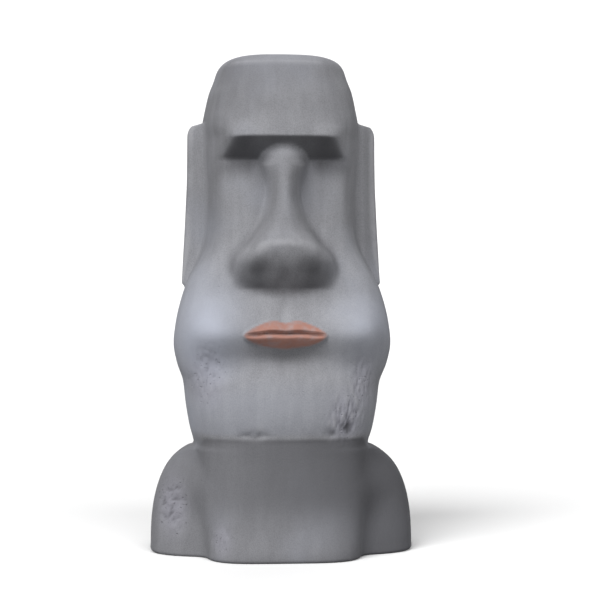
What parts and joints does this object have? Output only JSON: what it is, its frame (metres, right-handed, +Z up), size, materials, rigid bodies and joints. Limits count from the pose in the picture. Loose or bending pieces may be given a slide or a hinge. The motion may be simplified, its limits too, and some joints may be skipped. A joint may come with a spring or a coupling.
{
  "type": "moai statue",
  "caption": "Free-standing moai head-and-shoulders statue in cast stone, with an overhanging brow, long nose, long ears and a flat underside.",
  "frame": {"origin": "middle of the underside, on the surface it stands on", "axes": "+Z up, -Y the way the face looks, +X to the right of someone facing it"},
  "size_m": [0.16, 0.12, 0.3],
  "materials": {
    "cast_stone": "matte cast stone, lightly porous, lips tinted salmon"
  },
  "bodies": {
    "root": {"moai_statue": "cast_stone"}
  },
  "joints": []
}
